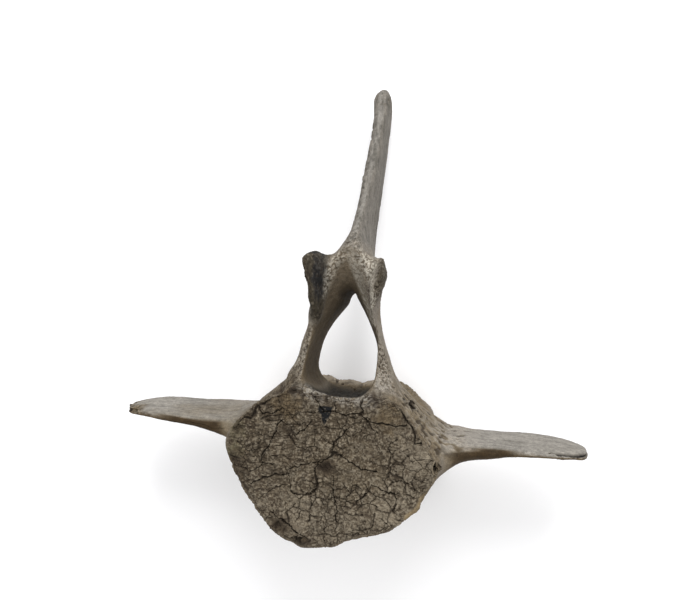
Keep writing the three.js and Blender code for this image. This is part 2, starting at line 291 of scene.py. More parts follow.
# %% Table of swellings
SWELLINGS = [
    {"at": (-46, 124, 135), "reach": 15, "by": 2.4},
    {"at": (-41, 150, 132), "reach": 14, "by": 3.0},
    {"at": (93, 50, 75), "reach": 16, "by": 4.5},
    {"at": (84, 55, 15), "reach": 16, "by": 5.0},
    {"at": (115, 40, 60), "reach": 14, "by": 2.5},
    {"at": (-101, 24, 158), "reach": 13, "by": 6.0},
    {"at": (-103, 12, 160), "reach": 10, "by": 3.5},
    {"at": (-87, -14, 165), "reach": 12, "by": -2.5},
    {"at": (-46, -60, 163), "reach": 12, "by": 3.8},
    {"at": (-112, 38, 60), "reach": 18, "by": 2.5},
    {"at": (128, 22, 115), "reach": 16, "by": 1.8},
    {"at": (150, 22, 120), "reach": 14, "by": 2.0},
    {"at": (208, 28, 110), "reach": (30, 8, 25), "by": -2.0},
    {"at": (-74, -32, 165), "reach": 18, "by": -3.2},
    {"at": (108, 13, 125), "reach": 10, "by": 2.5},
    {"at": (-108, 42, 80), "reach": 16, "by": 2.0},
    {"at": (5, 300, 50), "reach": (12, 40, 40), "by": 1.5},
    {"at": (92, -12, 163), "reach": 11, "by": -6.0},
    {"at": (80, -32, 166), "reach": 9, "by": -2.5},
    {"at": (33, 160, 145), "reach": 18, "by": -3.5},
    {"at": (24, 184, 164), "reach": 10, "by": 3.0},
    {"at": (39, 207, 188), "reach": 10, "by": -7.0},
    {"at": (37, 145, 125), "reach": (8, 28, 40), "by": -3.5},
    {"at": (33, 150, 120), "reach": (7, 22, 18), "by": -3.0},
    {"at": (35, 207, 175), "reach": (9, 7, 14), "by": -3.0},
    {"at": (-138, 40, 68), "reach": 20, "by": 3.0},
    {"at": (-37, -68, 164), "reach": 7, "by": 2.5},
    {"at": (-57, 85, 125), "reach": (10, 10, 22), "by": 2.0},
    {"at": (-9, 246, 124), "reach": 20, "by": -3.5},
    {"at": (-8, 277, 100), "reach": 18, "by": -2.5},
    {"at": (-14, 229, 143), "reach": 12, "by": -2.5},
    {"at": (-5, 388, 40), "reach": 14, "by": 3.5},
    {"at": (25, -64, 165), "reach": 16, "by": -5.0},
    {"at": (-20, -72, 165), "reach": 10, "by": 6.0},
    {"at": (40, 190, 168), "reach": 15, "by": 2.0},
    {"at": (-32, 206, 155), "reach": 11, "by": 3.0},
    {"at": (-44, 188, 180), "reach": 15, "by": -4.0},
    {"at": (-40, 174, 180), "reach": 11, "by": -2.0},
    {"at": (-7, 171, 85), "reach": (6, 7, 60), "by": -5.0},
    {"at": (-36, 88, 90), "reach": (8, 13, 40), "by": -3.0},
    {"at": (-60, 77, 140), "reach": (16, 14, 30), "by": -4.5},
    {"at": (58, 83, 122), "reach": 12, "by": -2.5},
    {"at": (-36, 76, 6), "reach": (8, 9, 14), "by": 3.5},
    {"at": (-11, 75, 5), "reach": (10, 9, 14), "by": 3.0},
    {"at": (14, 76, 5), "reach": (8, 9, 14), "by": 2.0},
    {"at": (60, -52, 160), "reach": 12, "by": 2.0},
    {"at": (92, -9, 168), "reach": (5, 1.8, 1.8), "by": 3.0},
    {"at": (-78, -29, 167), "reach": (4, 1.8, 1.8), "by": 3.0},
]
print("swellings", len(SWELLINGS))

# %% [markdown]
# ## Working the field
# A change of form only touches the cells round its place. Under the roof of the canal the bone
# sinks into a smooth trough, which comes from blurring the field there. Then come the swellings,
# and last the breaks, so that their edges stay sharp.

# %% Trough, swellings and breaks
TROUGH = {"at": (-2, 190, 152), "reach": (19, 30, 32)}
TROUGH_ROUNDS = 12


def cell_places(low, high):
    """Slices of the grid around a box in millimetres, and the places of its cells."""
    first = np.maximum(np.floor(low / VOXEL).astype(int) - grid_low, 0)
    last = np.minimum(np.ceil(high / VOXEL).astype(int) - grid_low, grid_shape)
    block = tuple(slice(a, b) for a, b in zip(first, last))
    axes = [np.arange(a, b) for a, b in zip(first, last)]
    places = np.stack(np.meshgrid(*axes, indexing="ij"), -1) + grid_low
    return block, (places * VOXEL).astype(np.float32)


centre = np.array(TROUGH["at"], np.float32)
reach = np.array(TROUGH["reach"], np.float32)
block, places = cell_places(centre - 2 * reach, centre + 2 * reach)
weight = np.clip(1.5 * np.exp(-(((places - centre) / reach) ** 2).sum(-1)) - 0.1, 0, 1)
blurred = softened(bone_field[block], TROUGH_ROUNDS)
bone_field[block] += (blurred - bone_field[block]) * weight

for swelling in SWELLINGS:
    centre = np.array(swelling["at"], np.float32)
    reach = np.zeros(3, np.float32) + swelling["reach"]
    block, places = cell_places(centre - 3 * reach, centre + 3 * reach)
    away = (((places - centre) / reach) ** 2).sum(-1)
    bone_field[block] -= swelling["by"] * np.exp(-away)

for loss in BREAKS:
    centre = np.array(loss["at"], np.float32)
    reach = np.array(loss["reach"], np.float32)
    block, places = cell_places(centre - 1.7 * reach, centre + 1.7 * reach)
    flat = places.reshape(-1, 3)
    span = np.sqrt((((flat - centre) / reach) ** 2).sum(1))
    ragged = span + RAGGEDNESS * (noise(flat, 5.0, 3.1) - 0.5)
    tool = ((ragged - 1) * reach.min()).reshape(places.shape[:-1])
    bone_field[block] = np.maximum(bone_field[block], -tool)
print("bone cells after the breaks", int((bone_field < 0).sum()))

# %% [markdown]
# ## Tools for the skin
# The surface of the field comes out as quads. These helpers read the field between its cells, drop
# the crumbs that a break leaves loose, divide the quads where finer detail is wanted, and build a
# mesh from the result.

# %% Skin tools
def sample(field, points):
    """The field at any points, from the eight cells round each."""
    q = (points / VOXEL - grid_low).astype(np.float32)
    low = np.clip(np.floor(q).astype(np.int32), 0, np.array(field.shape, np.int32) - 2)
    t = np.clip(q - low, 0, 1)
    parts = (1 - t, t)
    total = np.zeros(len(points), np.float32)
    for i, j, k in np.ndindex(2, 2, 2):
        weight = parts[i][:, 0] * parts[j][:, 1] * parts[k][:, 2]
        total += weight * field[low[:, 0] + i, low[:, 1] + j, low[:, 2] + k]
    return total


def largest_piece(points, quads):
    """The points and quads of the largest connected piece, without the crumbs of the breaks."""
    label = np.arange(len(points))
    while True:
        lower = label.copy()
        np.minimum.at(lower, quads, label[quads].min(1)[:, None])
        lower = lower[lower]
        if (lower == label).all():
            break
        label = lower
    kept = label == np.bincount(label).argmax()
    print("crumbs taken away:", int((~kept).sum()), "points")
    place = np.cumsum(kept) - 1
    return points[kept], place[quads[kept[quads[:, 0]]]]


def refined(points, quads, chosen):
    """The chosen quads divided in four, the other quads, and as rings the neighbours between."""
    count = len(points)
    ends = np.sort(quads[:, [0, 1, 1, 2, 2, 3, 3, 0]].reshape(-1, 4, 2), axis=2).astype(np.int64)
    keys = ends[:, :, 0] * count + ends[:, :, 1]
    split, place = np.unique(keys[chosen], return_inverse=True)
    middles = (points[split // count] + points[split % count]) / 2
    hearts = points[quads[chosen]].mean(1)
    middle = place.reshape(-1, 4) + count
    heart = count + len(split) + np.arange(len(hearts))
    corner = quads[chosen]
    fours = [
        np.stack([corner[:, k], middle[:, k], heart, middle[:, k - 1]], 1) for k in range(4)
    ]
    others, other_keys = quads[~chosen], keys[~chosen]
    at = np.minimum(np.searchsorted(split, other_keys), len(split) - 1)
    shared = split[at] == other_keys
    plain = ~shared.any(1)
    rings = []
    for quad, hits, where in zip(others[~plain], shared[~plain], at[~plain]):
        ring = []
        for k in range(4):
            ring.append(quad[k])
            if hits[k]:
                ring.append(where[k] + count)
        rings.append(np.array(ring, np.int32))
    all_points = np.vstack([points, middles, hearts]).astype(np.float32)
    return all_points, np.vstack(fours + [others[plain]]).astype(np.int32), rings


def mesh_from(name, points, quads, rings):
    loops = np.concatenate([quads.ravel(), *rings]).astype(np.int32)
    sizes = np.array([4] * len(quads) + [len(ring) for ring in rings], np.int32)
    mesh = bpy.data.meshes.new(name)
    mesh.vertices.add(len(points))
    mesh.vertices.foreach_set("co", points.ravel())
    mesh.loops.add(len(loops))
    mesh.loops.foreach_set("vertex_index", loops)
    mesh.polygons.add(len(sizes))
    mesh.polygons.foreach_set("loop_start", (np.cumsum(sizes) - sizes).astype(np.int32))
    mesh.update(calc_edges=True)
    return mesh


def point_normals(mesh):
    normals = np.empty(len(mesh.vertices) * 3, np.float32)
    mesh.vertex_normals.foreach_get("vector", normals)
    return normals.reshape(-1, 3)


# %% [markdown]
# ## The skin as a mesh
# The quads are divided once, so that their points are about 0.8 mm apart, and once more on the
# front face. That is close enough for a crack to be a real groove. The skin starts a millimetre
# too large, because the relief to come only cuts into it.

# %% Skin
SKIN_ALLOWANCE = 1.0
LOWEST_Z_OF_FACE = 146
HIGHEST_Y_OF_FACE = 92
grid = openvdb.FloatGrid(float(VOXEL * BAND))
grid.transform = transform
grid.copyFromArray(bone_field, ijk=tuple(int(v) for v in grid_low))
P, _, quads = grid.convertToPolygons(isovalue=SKIN_ALLOWANCE)
P, quads = largest_piece(P, quads.astype(np.int32))
P, quads, _ = refined(P, quads, np.ones(len(quads), bool))
centres = P[quads].mean(1)
facing = np.cross(P[quads[:, 2]] - P[quads[:, 0]], P[quads[:, 3]] - P[quads[:, 1]])
facing_up = facing[:, 2] / np.maximum(np.sqrt((facing**2).sum(1)), 1e-6)
on_face = (centres[:, 2] > LOWEST_Z_OF_FACE) & (centres[:, 1] < HIGHEST_Y_OF_FACE)
on_face &= facing_up > 0.1
P, quads, rings = refined(P, quads, on_face)
skin = mesh_from("whale_vertebra", P, quads, rings)
P -= point_normals(skin) * (sample(bone_field, P) - SKIN_ALLOWANCE)[:, None]
skin.vertices.foreach_set("co", P.ravel())
skin.update()
N = point_normals(skin)
bone = bpy.data.objects.new("whale_vertebra", skin)
bpy.context.scene.collection.objects.link(bone)
X, Y, Z = P.T
print("skin points", len(P), "faces", len(skin.polygons))

# %% [markdown]
# ## Where each kind of bone is
# The fields say how near each point is to each part. From that and from the way the surface faces
# come soft masks, on which the relief and the colours are painted. First the drum: its front face
# with a worn rim that leans outwards on the right, the shoulder over the left process, a wedge of
# bare bone low on the left rim, and a shallow hollow under the canal, painted slate-dark as shade.

# %% Masks of the drum
near = {key: smoothstep(7, 1, sample(field, P)) for key, field in fields.items()}
below_face = P.copy()
below_face[:, 2] = 150
rim_distance = np.clip(-sample(fields["drum"], below_face), 0, 20)
face = smoothstep(0.05, 0.5, N[:, 2]) * smoothstep(148, 160, Z) * near["drum"]
right_rim = smoothstep(-40, -54, X) * smoothstep(-108, -98, X) * smoothstep(36, 48, Y)
right_rim = right_rim * smoothstep(100, 84, Y + 8 * (noise(P, 8.0, 14.0) - 0.5))
right_rim = right_rim * smoothstep(96, 114, Z)
face = np.maximum(face, right_rim * smoothstep(-0.6, -0.1, N[:, 2]))
rear_face = smoothstep(0.6, 0.9, -N[:, 2]) * smoothstep(12, 4, Z)
shoulder = smoothstep(52, 66, X) * smoothstep(128, 112, X)
shoulder = shoulder * smoothstep(18, 34, Y) * smoothstep(100, 86, Y)
shoulder = shoulder * smoothstep(60, 90, Z) * smoothstep(-0.1, 0.2, N[:, 1])
wedge = smoothstep(6.5, 3.5, route_distance(P[:, :2], [(92, -16), (88, -25), (79, -34)]))
wedge = wedge * smoothstep(130, 145, Z) * (rim_distance < 9)
# A shallow hollow under the canal, painted near black as the shade of a notch.
slate_half = 0.8 + 5.9 * np.clip((Y - 46) / 16, 0, 1)
slate_edge = np.abs(X + 10.3) / slate_half + 0.9 * (noise(P, 3.0, 205.0) - 0.5)
slate_patch = smoothstep(1.1, 0.85, slate_edge) * smoothstep(45, 48, Y) * smoothstep(64, 62, Y)
slate_patch = slate_patch * face
print("face share", round(float(face.mean()), 3))

# %% [markdown]
# The side processes are called wings here, and the plates beside the spine ears. A wing has its
# own weathering along both edges. The brink of the spine is its worn right front edge.

# %% Masks of the processes and the spine
wings = np.maximum(near["wing_left"], near["wing_right"])
wings = wings * smoothstep(82, 112, np.abs(X))
wing_edge = wings * smoothstep(0.35, 0.8, np.abs(N[:, 2]))
to_wing = np.minimum(sample(fields["wing_left"], P), sample(fields["wing_right"], P))
away_from_wing = smoothstep(2, 20, to_wing + 10 * (rough(P, 14.0, 2, 15.0) - 0.5))
ears = np.maximum(near["ear_left"], near["ear_right"])
spine = smoothstep(205, 232, Y)
spine_front = spine * smoothstep(0.2, 0.7, N[:, 2])
spine_brink = smoothstep(238, 262, Y) * smoothstep(372, 352, Y)
spine_brink = spine_brink * smoothstep(0.0, -0.5, N[:, 0]) * smoothstep(-0.3, 0.2, N[:, 2])
print("wing share", round(float(wings.mean()), 3))

# %% [markdown]
# The inside of the arch is all that faces the middle of the canal. Two pale ridges run down from
# the spine on either side of the trough, along listed routes.

# %% Masks of the arch
CANAL_MIDDLE = (-3, 100)
RIDGE_RIGHT = [(-13, 208, 146), (-20, 196, 145), (-25, 182, 142), (-27, 170, 141)]
RIDGE_LEFT = [
    (11, 208, 150), (19, 195, 152), (27, 182, 176), (28, 166, 172), (29, 150, 152), (32, 138, 142),
]
arch = near["arch"] * smoothstep(60, 84, Y) * (1 - ears)
to_canal = np.stack([CANAL_MIDDLE[0] - X, CANAL_MIDDLE[1] - Y], 1)
to_canal /= np.maximum(np.sqrt((to_canal**2).sum(1)), 1e-3)[:, None]
inner = arch * (1 - spine) * smoothstep(-0.3, 0.8, (N[:, :2] * to_canal).sum(1))
trough_ridges = np.maximum(
    smoothstep(10, 3, route_distance(P, RIDGE_RIGHT)),
    smoothstep(15, 5, route_distance(P, RIDGE_LEFT)),
)
trough_ridges = trough_ridges * smoothstep(0.0, 0.4, N[:, 2])
left_slope = inner * smoothstep(6, 11, X + 0.4 * (Y - 171)) * smoothstep(138, 150, Y)
left_slope = left_slope * smoothstep(95, 115, Z)
drum_side = near["drum"] * (1 - face) * (1 - rear_face) * (1 - wings) * (1 - arch)
print("arch share", round(float(arch.mean()), 3), "inside", round(float(inner.mean()), 3))

# %% [markdown]
# ## The cracked front face
# The end plate dried and shrank into plates. The main cracks are listed one by one: each has a
# width and a route in millimetres across the face.

# %% Table of cracks
MAIN_CRACKS = [
    (1.2, [(14, 45), (8, 37), (1, 29), (1, 20), (-4, 12)]),
    (1.2, [(-4, 12), (-13, 9), (-15, 2), (-12, -10), (-12, -16)]),
    (0.9, [(-12, -16), (-19, -22), (-30, -24), (-37, -21)]),
    (1.1, [(1, 20), (11, 16), (19, 12), (31, 7)]),
    (0.7, [(31, 7), (44, 6)]),
    (0.8, [(-13, 9), (-23, 5), (-35, 3), (-38, 1), (-43, -1)]),
    (0.6, [(-20, 49), (-26, 42), (-33, 36), (-37, 33)]),
    (1.0, [(-14, 57), (-3, 58), (9, 57), (23, 59), (31, 54), (40, 52), (53, 53), (68, 54)]),
    (0.9, [(-21, 76), (-20, 68), (-18, 66), (-13, 59)]),
    (1.7, [(24, 78), (24, 70), (23, 66), (26, 63), (24, 58)]),
    (0.8, [(-1, 70), (-2, 64), (-1, 58)]),
    (1.6, [(62, 66), (68, 60), (74, 52), (76, 47), (78, 37)]),
    (1.0, [(78, 37), (85, 39), (92, 37)]),
    (0.9, [(76, 47), (81, 51), (86, 52)]),
    (1.0, [(39, -6), (48, -8), (55, -11), (62, -11), (64, -17), (63, -27), (65, -30)]),
    (0.9, [(39, -6), (38, -13), (30, -22), (27, -26)]),
    (0.7, [(2, -2), (3, -10), (4, -20), (7, -28), (9, -37), (10, -48), (8, -56)]),
    (0.9, [(-49, 48), (-55, 38), (-59, 29), (-63, 21), (-69, 9), (-68, -1)]),
    (0.9, [(-77, -20), (-67, -12), (-52, -8), (-41, -6)]),
    (0.7, [(-41, -6), (-40, -14), (-36, -22), (-25, -24), (-17, -22), (-12, -16)]),
    (1.5, [(-101, 34), (-97, 38), (-91, 45), (-82, 46), (-76, 58), (-68, 62), (-64, 67)]),
    (1.0, [(-76, 58), (-70, 50), (-60, 52), (-54, 57)]),
    (0.8, [(-55, -41), (-44, -49), (-35, -52), (-27, -59), (-17, -64)]),
]
MINOR_CRACKS = [
    (1.0, [(-74, 44), (-63, 49), (-49, 52), (-37, 53), (-26, 56), (-14, 57)]),
    (1.0, [(-69, -34), (-64, -28), (-56, -22), (-47, -17), (-42, -16)]),
    (1.0, [(71, 26), (77, 19), (86, 22), (93, 25)]),
    (1.0, [(45, -34), (44, -45), (36, -51), (27, -53)]),
    (1.0, [(-17, -23), (-15, -32), (-17, -39), (-17, -48)]),
    (0.8, [(40, 44), (42, 31), (45, 25)]),
    (0.8, [(-18, 40), (-17, 26), (-16, 20)]),
    (1.0, [(31, 54), (36, 47), (42, 44)]),
    (1.2, [(57, 7), (69, 2), (80, -6), (93, -11)]),
    (1.0, [(-93, 20), (-82, 14), (-70, 16)]),
    (1.0, [(-90, -5), (-80, -8), (-68, -1), (-55, 2)]),
    (1.0, [(10, -30), (22, -38), (34, -36)]),
    (1.0, [(60, 40), (52, 31), (57, 20), (53, 10)]),
    (1.0, [(-45, 33), (-36, 22), (-28, 20), (-18, 24)]),
    (1.0, [(-60, 8), (-50, 12), (-40, 10)]),
    (1.0, [(70, 2), (74, -10), (84, -14)]),
    (1.0, [(12, -8), (20, -14), (24, -8), (32, -12)]),
    (1.0, [(-33, -33), (-38, -42), (-36, -50)]),
    (1.0, [(52, -36), (60, -42), (56, -50)]),
]
print("cracks", len(MAIN_CRACKS), "main and", len(MINOR_CRACKS), "minor")

# %% [markdown]
# A straight route would look drawn, so the points are moved about by noise before their distance
# to it is measured. The finest joints are two mosaics, bent in the same way and open in patches.

# %% Cracks
def wander(points, reach, size, shift):
    """The points moved sideways at random, so that straight lines come out ragged."""
    moved = points.copy()
    for axis in range(points.shape[1]):
        moved[:, axis] += reach * (2 * rough(P, size, 3, shift + 5.7 * axis) - 1)
    return moved


def groove(distance, half_width):
    """How deep a groove is at a distance from its middle, from 0 to 1."""
    return np.clip(1 - distance / half_width, 0, 1) ** 0.7


def crease(points, size, width, shift=0.0):
    """Thin wandering lines, where smooth noise crosses its middle."""
    return np.clip(1 - np.abs(noise(points, size, shift) - 0.5) / width, 0, 1)


end_faces = np.clip(face + rear_face, 0, 1) * (1 - wedge)
XY = P[:, :2]
ragged_xy = wander(wander(XY, 2.6, 7.0, 2.0), 0.9, 2.2, 5.0)
main_half = 0.5 + 0.8 * smoothstep(0.25, 0.8, noise(P, 6.0, 6.0))
minor_half = 0.35 + 0.65 * smoothstep(0.3, 0.8, noise(P, 5.0, 7.0))
main = np.zeros(len(P), np.float32)
for wide, route in MAIN_CRACKS:
    main = np.maximum(main, groove(route_distance(ragged_xy, route), wide * main_half))
minor = np.zeros(len(P), np.float32)
for wide, route in MINOR_CRACKS:
    minor = np.maximum(minor, groove(route_distance(ragged_xy, route), wide * minor_half))
front_only = smoothstep(140, 150, Z)
main *= front_only * smoothstep(0.1, 0.4, N[:, 2])
minor *= front_only * smoothstep(0.1, 0.4, N[:, 2])

plate_joint, plate_tag = plates(wander(wander(XY, 6.0, 16.0, 8.0), 1.4, 3.0, 9.0), 14.0, 4.0)
small_joint, _ = plates(wander(wander(XY, 3.0, 7.0, 11.0), 0.9, 1.8, 12.0), 6.0, 9.0)
open_joints = smoothstep(0.4, 0.7, noise(P, 20.0, 21.0))
open_small = smoothstep(0.4, 0.7, noise(P, 14.0, 31.0))
mosaic = groove(plate_joint, 0.75) * open_joints
small_mosaic = groove(small_joint, 0.6) * open_small
print("cracked share", round(float((main + minor > 0).mean()), 3))

# %% [markdown]
# Between the cracks the plates are a little pillowed, and wrinkled like dry mud. On the left half
# they break down into pebbles; on the right, towards -X, the wrinkles run across. Near the rim the
# joints turn outwards and open into notches.

# %% Face relief
DRUM_MIDDLE_Y = 4
DRUM_RADIUS = 90
right_half = smoothstep(25, -35, X)
bent = wander(P, 2.2, 8.0, 40.0)
long_creases = crease(bent, (11.0, 3.0, 6.0), 0.07, 50.0) * (0.45 + 0.55 * right_half)
short_creases = crease(bent, (4.5, 2.4, 3.5), 0.09, 60.0)
wrinkles = ridged(bent, (8.0, 2.4, 5.0), 65.0)
pebbles = noise(bent, 2.9, 70.0)
grain = noise(P, 1.3, 80.0)
angle = np.arctan2(Y - DRUM_MIDDLE_Y, X)
from_middle = np.hypot(X, Y - DRUM_MIDDLE_Y)
along_rim = angle * DRUM_RADIUS + 6 * noise(P, 15.0, 90.0)
around = np.stack([along_rim, from_middle * 0.25, Z * 0], 1)
rim_joint = crease(around, 8.0, 0.1, 100.0)
near_rim = smoothstep(13, 2, rim_distance) * end_faces
pillow = np.exp(-plate_joint / 3.5) * open_joints

relief = np.zeros(len(P), np.float32)
relief -= end_faces * 1.3 * mosaic
relief -= end_faces * 0.8 * small_mosaic
relief -= end_faces * 0.7 * pillow
relief -= end_faces * 0.75 * long_creases
relief -= end_faces * 0.5 * short_creases
relief -= end_faces * (0.5 + 0.4 * right_half) * (1 - wrinkles)
relief -= end_faces * (1.1 - 0.35 * right_half) * (1 - pebbles)
relief -= end_faces * 1.3 * (1 - rough(P, 20.0, 2, 110.0))
relief -= end_faces * 0.3 * plate_tag
relief -= 2.8 * main
relief -= 1.5 * minor
relief -= near_rim * (1.5 * rim_joint + 1.8 * noise(around, 11.0, 120.0))
relief -= end_faces * 0.45 * (1 - grain)
relief -= slate_patch * (0.7 + 1.0 * pebbles)
print("face relief down to", round(float(relief.min()), 2), "mm")

# %% [markdown]
# ## Pits
# A nutrient pit opens near the middle of the face, and a brown one at the right foot of the arch.
# The other pits are on the left shoulder of the drum, in and around the deeper breaks.

# %% Pits
PITS = [
    {"at": (-5, 5, 166), "reach": 6.5, "deep": 2.4},
    {"at": (-12, 4, 166), "reach": 3.0, "deep": 1.5},
    {"at": (-44, 77, 168), "reach": 5.0, "deep": 2.0},
    {"at": (96, 30, 160), "reach": 4.0, "deep": 2.0},
    {"at": (110, 25, 130), "reach": 3.0, "deep": 2.0},
    {"at": (69, 69, 124), "reach": 6.0, "deep": 2.5},
    {"at": (75, 64, 103), "reach": 5.0, "deep": 2.0},
    {"at": (65, 69, 136), "reach": 4.0, "deep": 2.0},
]
pitted = np.zeros(len(P), np.float32)
for pit in PITS:
    away = np.sqrt(((P - np.array(pit["at"], np.float32)) ** 2).sum(1))
    ragged = away / pit["reach"] + 0.6 * (noise(P, 3.0, 130.0) - 0.5)
    hollow = smoothstep(1.1, 0.3, ragged)
    relief -= pit["deep"] * hollow
    pitted = np.maximum(pitted, hollow)
print("pits", len(PITS))

# %% [markdown]
# ## Fibres, and bone opened by weather
# The processes and the spine are dense bone whose fibres run along them. The thin outer layer has
# gone from their edges, where the spongy inside shows as small deep pits. These are the patterns,
# each a noise stretched along the grain of its part; wide shallow grooves mark where vessels lay.

# %% Patterns of fibres and sponge
swayed = P + 3 * (noise(P, 30.0, 140.0)[:, None] - 0.5)
fibre_wing = ridged(swayed, (34, 2.4, 2.4), 150.0)
fibre_wing_fine = ridged(P, (18, 1.3, 1.3), 155.0)
fibre_spine = ridged(swayed, (2.2, 32, 2.6), 170.0)
fibre_spine_fine = ridged(P, (1.4, 17, 1.4), 175.0)
fibre_drum = ridged(swayed, (3.0, 3.0, 26), 180.0)
drum_creases = crease(wander(P, 2.0, 9.0, 183.0), (6.5, 6.5, 34.0), 0.05, 185.0)
drum_creases *= smoothstep(0.35, 0.6, noise(P, 12.0, 187.0))
slanted = np.stack([0.86 * X - 0.5 * Y, 0.5 * X + 0.86 * Y, Z], 1)
fibre_shoulder = ridged(wander(slanted, 4.0, 13.0, 186.0), (17, 3.6, 4.4), 188.0)
sponge = smoothstep(0.55, 0.78, noise(P, 2.3, 190.0))
coarse_sponge = smoothstep(0.52, 0.75, noise(P, 4.2, 195.0))
vessel_grooves = crease(wander(P, 5.0, 22.0, 198.0), (70, 16, 16), 0.06, 199.0) * (1 - spine)
vessel_grooves += crease(wander(P, 4.0, 22.0, 198.0), (14, 80, 14), 0.05, 199.0) * spine
vessel_grooves *= smoothstep(0.5, 0.66, rough(P, 30.0, 2, 201.0))
worn_edge = smoothstep(0.42, 0.62, noise(P, 16.0, 200.0))
uneven = 1 - rough(P, 26.0, 3, 210.0)
speckle = smoothstep(0.3, 0.65, noise(wander(P, 0.7, 2.0, 203.0), 1.35, 204.0))

# %% [markdown]
# The sponge shows on the edges of the wings, the tip of the spine, the ears and the broken end of
# the right wing. The front of the arch is rough too, but its canal side stays smooth.

# %% Where the sponge shows
flanks = 1 - end_faces
front_rough = np.clip(arch * (1 - spine) + ears, 0, 1) * smoothstep(0.05, 0.5, N[:, 2])
front_rough = np.maximum(front_rough, spine * smoothstep(250, 215, Y) * smoothstep(0, 0.5, N[:, 2]))
front_rough = front_rough * (1 - inner) * flanks
spine_tip = smoothstep(370, 392, Y)
spongy = wing_edge * (0.15 + 0.6 * worn_edge) * smoothstep(120, 190, np.abs(X))
spongy = np.maximum(spongy, spine_tip * (0.25 + 0.5 * worn_edge))
spongy = np.maximum(spongy, spine_front * 0.1 * worn_edge)
rear_edge_left = near["wing_left"] * smoothstep(-0.2, -0.7, N[:, 2]) * smoothstep(100, 120, X)
spongy = np.maximum(spongy, 0.9 * rear_edge_left)
spongy = np.maximum(spongy, ears * smoothstep(0.4, 0.9, N[:, 2]) * 0.7)
tip_break = near["wing_right"] * smoothstep(-208, -222, X) * smoothstep(95, 108, Z)
tip_break = np.maximum(tip_break, near["wing_right"] * smoothstep(-228, -234, X))
spongy = np.maximum(spongy, tip_break)
print("spongy share", round(float(spongy.mean()), 3))

# %% [markdown]
# Small holes, through which vessels entered the bone, are strewn over the side of the drum. They
# are a little longer from front to rear than they are wide.

# %% Small holes
FORAMINA = 70
hole_angle = rng.uniform(-math.pi, math.pi, FORAMINA)
hole_height = rng.uniform(8, 160, FORAMINA)
hole_size = rng.uniform(0.7, 2.0, FORAMINA) ** 1.3
holes = np.zeros(len(P), np.float32)
for turn, height, size in zip(hole_angle, hole_height, hole_size):
    sideways = np.abs(np.mod(angle - turn + math.pi, 2 * math.pi) - math.pi) * DRUM_RADIUS
    away = np.hypot(sideways, 0.6 * (Z - height)) / size
    holes = np.maximum(holes, smoothstep(1.2, 0.5, away))
holes = holes * near["drum"] * (np.abs(N[:, 2]) < 0.5)
print("small holes", FORAMINA)

# %% [markdown]
# Each pattern now cuts into its own part of the bone, by the millimetres given here.

# %% Relief of the sides, the processes and the arch
relief -= flanks * 1.1 * uneven
relief -= flanks * (1 - inner) * 1.1 * vessel_grooves
relief -= flanks * 0.6 * (1 - rough(P, 9.0, 2, 212.0))
relief -= wings * (1 - wing_edge) * 0.5 * (1 - fibre_wing) ** 1.5
relief -= wings * 0.25 * (1 - fibre_wing_fine)
relief -= spine * 0.35 * (1 - fibre_spine) ** 1.5
relief -= spine * 0.2 * (1 - fibre_spine_fine)
relief -= spine_brink * 1.3 * smoothstep(0.4, 0.65, noise(P, (5.0, 3.4, 5.0), 176.0))
relief -= rear_edge_left * 1.2 * smoothstep(0.4, 0.65, noise(P, (3.6, 5.0, 5.0), 177.0))
relief -= drum_side * (1.0 * (1 - fibre_drum) + 0.9 * drum_creases)
relief -= 2.0 * holes
relief -= shoulder * (1.7 * (1 - fibre_shoulder) + 1.2 * coarse_sponge)
relief -= spongy * (0.9 * sponge + 0.9 * coarse_sponge)
relief -= ears * 0.7 * (1 - pebbles)
relief -= trough_ridges * 0.6 * (1 - speckle)
relief -= front_rough * (0.6 * (1 - pebbles) + 0.7 * short_creases)
relief -= flanks * 0.25 * grain * (1 - inner)
print("relief down to", round(float(relief.min()), 2), "mm")

# %% [markdown]
# Long drying cracks follow the grain: along the front edge of the left process, down the outside
# of the left foot of the arch, across the rear rim under the canal, over the left shoulder, and
# along the right rim of the face. The slit at the tip of the left process is straight, the others
# are ragged.

